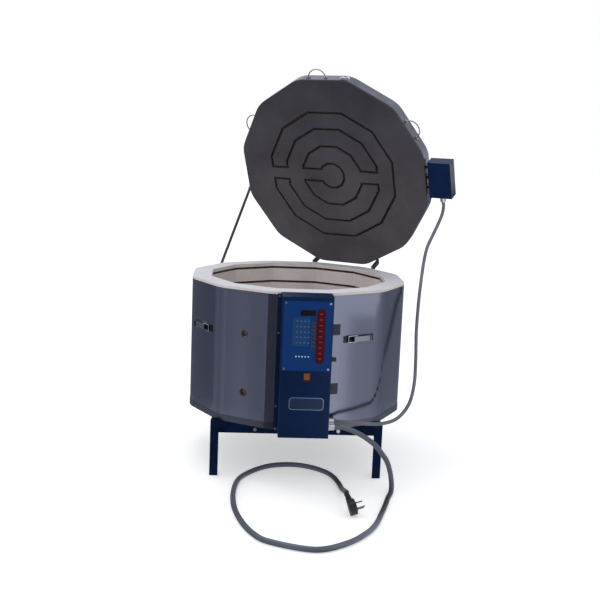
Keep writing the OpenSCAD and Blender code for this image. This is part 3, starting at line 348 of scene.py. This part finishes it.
# enamel on steel, baked: dark blue and smooth, with a soft gloss
box_blue, tree, shader = finish_of("gloss blue enamel on sheet", "09204a", 0.3, ior=1.22)
mottle(tree, shader, 0.2, 0.3, 0.7, "081d40", "0b264f")
dress("control_box", box_blue)
for part in ("box_screws", "plate_screws", "cord_connectors"):
    dress(part, zinc)

# steel plate, powder coated: a clear mid blue without gloss
plate_blue, *_ = finish_of("satin blue plate", "083672", 0.5, ior=1.2)
dress("controller_plate", plate_blue)

# polyester membrane, printed on its back: a greyer blue under a satin skin
key_blue, *_ = finish_of("printed key membrane", "1c4272", 0.5, ior=1.25)
dress("keypad", key_blue)

# acrylic, tinted and polished: nearly black while the display is off
window, *_ = finish_of("tinted acrylic window", "160c0c", 0.12, ior=1.49)
dress("display_window", window)

# glass-fibre laminate under solder mask: green and slightly glossy
laminate, *_ = finish_of("circuit board laminate", "1f6b45", 0.4)
dress("controller_board", laminate)

# nylon, injection moulded: black with a low sheen
black_nylon, *_ = finish_of("moulded black nylon", "16171a", 0.42, ior=1.53)
for part in ("rocker_bezel", "fuse_holder", "fuse_cap", "relays"):
    dress(part, black_nylon)

# polycarbonate, injection moulded: the switch is a smooth, deep orange
orange, *_ = finish_of("moulded orange rocker", "8a4a16", 0.35, ior=1.4)
dress("rocker", orange)

# stacked sheet iron, varnished: brown and half dull
laminations, *_ = finish_of("lacquered laminations", "4a4038", 0.5, metal=0.6)
dress("transformer", laminations)

# steel, blackened: dark grey with worn, slightly lighter patches
dark_steel, tree, shader = finish_of("darkened steel", "33363e", 0.4, metal=0.8)
mottle(tree, shader, 0.02, 0.3, 0.7, "2b2e35", "3d4049")
dress("box_hinges", dark_steel)


# Overlays: thin printed polycarbonate sheets glued on the controller plate, a column of values
# in grey and a column of lamps in red, with a row of small pilot lamps below the keys. The
# label on the lower box is a plain aluminium-rimmed plate, left bare.
BOX_FRONT = -0.5340
PLATE_FRONT = -0.5360
KEY_FRONT = -0.5372
CORNER_STEPS = 5


def overlay(name, centre, wide, high, radius, thick, mat, front=PLATE_FRONT):
    """Flat sheet with rounded corners that lies on the front of the control box."""
    shape = bmesh.new()
    rim = []
    for cx, cz, start in ((1, 1, 0), (-1, 1, 90), (-1, -1, 180), (1, -1, 270)):
        for step in range(CORNER_STEPS):
            turn = math.radians(start + step * 90 / (CORNER_STEPS - 1))
            rim.append(shape.verts.new((
                centre[0] + cx * (wide / 2 - radius) + radius * math.cos(turn), front,
                centre[1] + cz * (high / 2 - radius) + radius * math.sin(turn))))
    face = shape.faces.new(rim)
    raised = bmesh.ops.extrude_face_region(shape, geom=[face])
    bmesh.ops.translate(shape, vec=(0, -thick, 0),
                        verts=[v for v in raised["geom"] if isinstance(v, bmesh.types.BMVert)])
    bmesh.ops.recalc_face_normals(shape, faces=shape.faces)
    mesh = bpy.data.meshes.new(name)
    shape.to_mesh(mesh)
    shape.free()
    mesh.materials.append(mat)
    sheet = bpy.data.objects.new(name, mesh)
    bpy.context.collection.objects.link(sheet)
    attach(sheet, "kiln")
    return sheet


# polycarbonate film over red ink: even, dark red under a satin skin
red_film, *_ = finish_of("red printed film", "460d18", 0.5, ior=1.2)
overlay("lamp_column", (0.061, 0.6115), 0.034, 0.207, 0.016, 0.0004, red_film)

# acrylic, moulded red: small lenses, brighter than the film round them though unlit
lamp_red, *_ = finish_of("unlit red lamp lens", "9c1a22", 0.3, ior=1.4)
for k in range(9):
    overlay(f"lamp_lens_{k}", (0.061, 0.528 + k * 0.0209), 0.012, 0.005, 0.0022, 0.0008, lamp_red)

# polycarbonate film over grey ink: a cool, dark grey
grey_film, *_ = finish_of("grey printed film", "383f54", 0.45, ior=1.25)
overlay("value_column", (0.0345, 0.613), 0.015, 0.104, 0.002, 0.0003, grey_film)

# ink, screen printed: dark blue marks that only just stand out
dark_ink, *_ = finish_of("dark ink on film", "1b2b45", 0.45, ior=1.25)
for k in range(7):
    overlay(f"value_mark_{k}", (0.0345, 0.568 + k * 0.015), 0.011, 0.005, 0.001, 0.0005, dark_ink)

# ink, screen printed: a pale blue mark on each key
key_ink, *_ = finish_of("pale ink on keys", "4d6c95", 0.5, ior=1.25)
for column in range(4):
    for row in range(5):
        overlay(f"key_mark_{column}_{row}",
                (-0.02675 + column * 0.0145, 0.5876 + row * 0.020),
                0.0065, 0.004, 0.001, 0.0002, key_ink, front=KEY_FRONT)

# acrylic, moulded clear over white: five pale dots
pilot_white, *_ = finish_of("pale pilot lens", "c9d3de", 0.25, ior=1.5)
for k in range(5):
    overlay(f"pilot_lens_{k}", (-0.027 + k * 0.0115, 0.535), 0.0055, 0.0055, 0.0025, 0.0008,
            pilot_white)

# aluminium, brushed: a thin light rim round the label
label_rim, *_ = finish_of("brushed aluminium label rim", "7d90ad", 0.35, metal=0.6)
overlay("label_rim", (0.019, 0.355), 0.130, 0.048, 0.012, 0.0006, label_rim, front=BOX_FRONT)

# aluminium, anodised: a plain blue field with a little metal in its shine
label_field, *_ = finish_of("anodised blue label", "0c2850", 0.4, metal=0.2)
overlay("label_field", (0.019, 0.355), 0.124, 0.042, 0.010, 0.0009, label_field, front=BOX_FRONT)


# Hinge and brace: a steel plate, a rod and two arms carry the lid. A flat bar, bolted to the
# lid, slides through a block on a post, where a thumb screw holds it.
for part in ("hinge_plate", "hinge_arms", "brace_post", "brace_guide"):
    dress(part, dark_steel)
for part in ("hinge_rod", "brace_pivot_bolt"):
    dress(part, zinc)
dress("brace_screw", black_nylon)

# steel bar, cold drawn: grey with a soft shine along its length
drawn_steel, *_ = finish_of("drawn steel bar", "63666e", 0.34, metal=1.0)
dress("brace_arm", drawn_steel)


# Latches: two draw latches of pressed steel, riveted to the jacket on the right and on the
# left, each with a lever and a wire loop.
for part in ("latch_right_plates", "latch_left_plates"):
    dress(part, dark_steel)
for part in ("latch_right_loop", "latch_left_loop"):
    dress(part, zinc)

# pressed steel, nickel plated: bright, with clear but soft reflections
latch_steel, *_ = finish_of("plated pressed steel", "8d909c", 0.25, metal=1.0)
for part in ("latch_right_lever", "latch_left_lever"):
    dress(part, latch_steel)


# Lid: one slab of castable firebrick in a clamped steel band, its underside grooved for one
# long coil. Three wire handles and the junction box of the coil stand on the band.
LID_UP = Vector((0.464, 0.803, 0.375))
LID_FOOT, LID_TIP = 0.7656, 1.5827

# stainless sheet, handled for years: greyer than the jacket and cloudy
band_steel, tree, shader = finish_of("handled stainless band", "5f6271", 0.28, metal=1.0)
mottle(tree, shader, 0.12, 0.3, 0.7, "525563", "6b6e7d")
dress("lid_band", band_steel)
for part in ("lid_band_clamp", "junction_connector"):
    dress(part, zinc)
dress("lid_element", oxide)
dress("junction_standoffs", dark_steel)
for part in ("junction_box", "junction_cover"):
    dress(part, box_blue)

# steel wire, nickel plated: bright grey arches
nickel, *_ = finish_of("nickel-plated wire", "94969d", 0.3, metal=1.0)
for part in ("handle_front", "handle_left", "handle_right"):
    dress(part, nickel)

# castable firebrick: dull grey clouds, kept dark as painted shade on the underside, which faces
# away from the light, and darker still towards the edge with the handles as painted shade, with
# pores about 5 mm apart, coarser than the real ones so that they show
shaded_lid_brick, tree, shader = finish_of("castable firebrick, painted shade", "585257", 0.95)
_, ramp = mottle(tree, shader, 0.16, 0.3, 0.72, "4e494f", "635d62", detail=6.0)
# painted shade: darker from the lid's lowest edge up to its highest, by multiplying with a
# blue-grey
place = put(tree, "ShaderNodeTexCoord")
split = put(tree, "ShaderNodeSeparateXYZ", [("Vector", place.outputs["Object"])])
height = put(tree, "ShaderNodeMapRange", [("Value", split.outputs["Z"])],
             From_Min=LID_FOOT, From_Max=LID_TIP)
height_shade = put(tree, "ShaderNodeMix", [("Factor", height.outputs["Result"])],
             data_type="RGBA", blend_type="MULTIPLY")
tree.links.new(ramp.outputs["Color"], height_shade.inputs["A"])
height_shade.inputs["B"].default_value = linear("9faab3")
tree.links.new(height_shade.outputs["Result"], shader.inputs["Base Color"])
pores = put(tree, "ShaderNodeTexNoise", [("Vector", place.outputs["Object"])],
            Scale=220.0, Detail=5.0)
pitted = put(tree, "ShaderNodeBump", [("Height", pores.outputs["Fac"])], Distance=0.0008)
tree.links.new(pitted.outputs["Normal"], shader.inputs["Normal"])
dress("lid_slab", shaded_lid_brick)

# castable firebrick on the upper face: the same brick without the painted shade of the underside,
# so paler, even and dull
lid_top, tree, shader = finish_of("castable firebrick, upper face", "8b8583", 0.95)
mottle(tree, shader, 0.12, 0.3, 0.72, "7d7775", "9a9391", detail=6.0)
second_finish("lid_slab", lid_top, LID_UP)


# Plug: a moulded drop-shaped right-angle plug with two blades and an earth pin, all in the CAD
# model. It leans on its rim, as it was dropped.

# rubber, moulded: black and half dull
moulded, *_ = finish_of("moulded black rubber", "202125", 0.5, ior=1.45)
dress("plug_body", moulded)

# brass, nickel plated: pale grey and worn
pins, *_ = finish_of("nickel-plated brass pins", "85837f", 0.3, metal=1.0)
dress("plug_prongs", pins)


# Studio: a pale floor and an even white surround, with one large soft lamp high above, a
# little behind and to the left, so that the shadow lies close.
FLOOR_SIZE = 30
FLOOR_GLOW = 0.42
LAMP_AT = (-1.0, 0.6, 4.2)
LAMP_AIM = (0, 0, 0.6)

floor_mesh = bpy.data.meshes.new("floor")
shape = bmesh.new()
bmesh.ops.create_grid(shape, x_segments=1, y_segments=1, size=FLOOR_SIZE)
shape.to_mesh(floor_mesh)
shape.free()
floor = bpy.data.objects.new("floor", floor_mesh)
floor.location.z = -0.0005
bpy.context.collection.objects.link(floor)

# matt white floor: it glows a little to the camera and in reflections, and keeps the shadow
pale, tree, shader = finish_of("white studio floor", "f4f4f4", 0.9)
path = put(tree, "ShaderNodeLightPath")
seen = put(tree, "ShaderNodeMath",
           [(0, path.outputs["Is Camera Ray"]), (1, path.outputs["Is Glossy Ray"])],
           operation="MAXIMUM")
lift = put(tree, "ShaderNodeMath", [(0, seen.outputs[0])], operation="MULTIPLY")
lift.inputs[1].default_value = FLOOR_GLOW
tree.links.new(lift.outputs[0], shader.inputs["Emission Strength"])
shader.inputs["Emission Color"].default_value = (1, 1, 1, 1)
floor_mesh.materials.append(pale)

# the surround: a soft, slightly cool light on the kiln, and pure white to the camera and in
# reflections
world = bpy.data.worlds.new("studio")
bpy.context.scene.world = world
world.use_nodes = True
tree = world.node_tree
tree.nodes.clear()
path = put(tree, "ShaderNodeLightPath")
seen = put(tree, "ShaderNodeMath",
           [(0, path.outputs["Is Camera Ray"]), (1, path.outputs["Is Glossy Ray"])],
           operation="MAXIMUM")
seen = put(tree, "ShaderNodeMath",
           [(0, seen.outputs[0]), (1, path.outputs["Is Transmission Ray"])],
           operation="MAXIMUM")
soft = put(tree, "ShaderNodeBackground", Strength=0.78)
white = put(tree, "ShaderNodeBackground", Strength=1.0)
soft.inputs["Color"].default_value = (0.95, 0.965, 1, 1)
white.inputs["Color"].default_value = (1, 1, 1, 1)
mix = put(tree, "ShaderNodeMixShader",
          [(0, seen.outputs[0]), (1, soft.outputs[0]), (2, white.outputs[0])])
put(tree, "ShaderNodeOutputWorld", [("Surface", mix.outputs[0])])

# the lamp: a disk of three metres, wide enough to soften the edge of the shadow
lamp_data = bpy.data.lights.new("soft_lamp", "AREA")
lamp_data.shape = "DISK"
lamp_data.size = 3.0
lamp_data.energy = 36
lamp = bpy.data.objects.new("soft_lamp", lamp_data)
lamp.location = LAMP_AT
lamp.rotation_euler = (Vector(LAMP_AIM) - Vector(LAMP_AT)).to_track_quat("-Z", "Y").to_euler()
bpy.context.collection.objects.link(lamp)
bpy.context.scene.view_settings.view_transform = "Standard"


# Screens: a ring of grey cards round the kiln that only reflections show, as the walls and the
# doorway of a yard would. They light nothing and the camera looks past them.
FOOT = 0.62
LOW = 0.002
WALL_REACH = 1.25
DOORWAY_REACH = 1.3


def screen(name, start, end, reach, color, height=1.1):
    """Card with a foot on the floor, between two bearings from the front to the right."""
    shape = bmesh.new()
    edges = [[shape.verts.new((r * math.sin(math.radians(a)), -r * math.cos(math.radians(a)), z))
              for r, z in ((FOOT, LOW), (reach, LOW), (reach, height))] for a in (start, end)]
    for k in range(2):
        shape.faces.new((edges[0][k], edges[1][k], edges[1][k + 1], edges[0][k + 1]))
    mesh = bpy.data.meshes.new(name)
    shape.to_mesh(mesh)
    shape.free()
    mesh.materials.append(finish_of(name + " paint", color, 0.9)[0])
    card = bpy.data.objects.new(name, mesh)
    card.visible_camera = False
    card.visible_diffuse = False
    card.visible_shadow = False
    bpy.context.collection.objects.link(card)


# start and end in degrees, height in metres, colour: the lighter strips are gaps between walls
YARD = (
    (-165, -112, 1.1, "8e909b"), (-112, -106, 0.7, "a9abb5"), (-106, -100, 0.66, "8f919c"),
    (-100, -93, 0.7, "b4b6bf"), (-93, -80, 1.1, "c0c2cb"), (-80, -70, 1.1, "b9bbc4"),
    (-70, -60, 1.1, "c6c8d0"), (-60, -56, 1.1, "d4d6dd"), (-56, -52, 1.1, "c3c5ce"),
    (-52, -49, 1.1, "d8dae0"), (-49, -40, 1.1, "bec0ca"), (53, 62, 0.5, "fafafd"),
    (62, 72, 0.55, "eeeff4"), (72, 84, 0.8, "d9dbe3"), (84, 100, 1.1, "c2c4cd"),
    (100, 104, 1.1, "b4b6c0"), (104, 108, 1.1, "9c9eaa"), (108, 165, 1.1, "aeb0bb"))
for number, (start, end, height, color) in enumerate(YARD):
    screen(f"yard_wall_{number}", start, end, WALL_REACH, color, height)
screen("doorway", -40, 8, DOORWAY_REACH, "78767b")
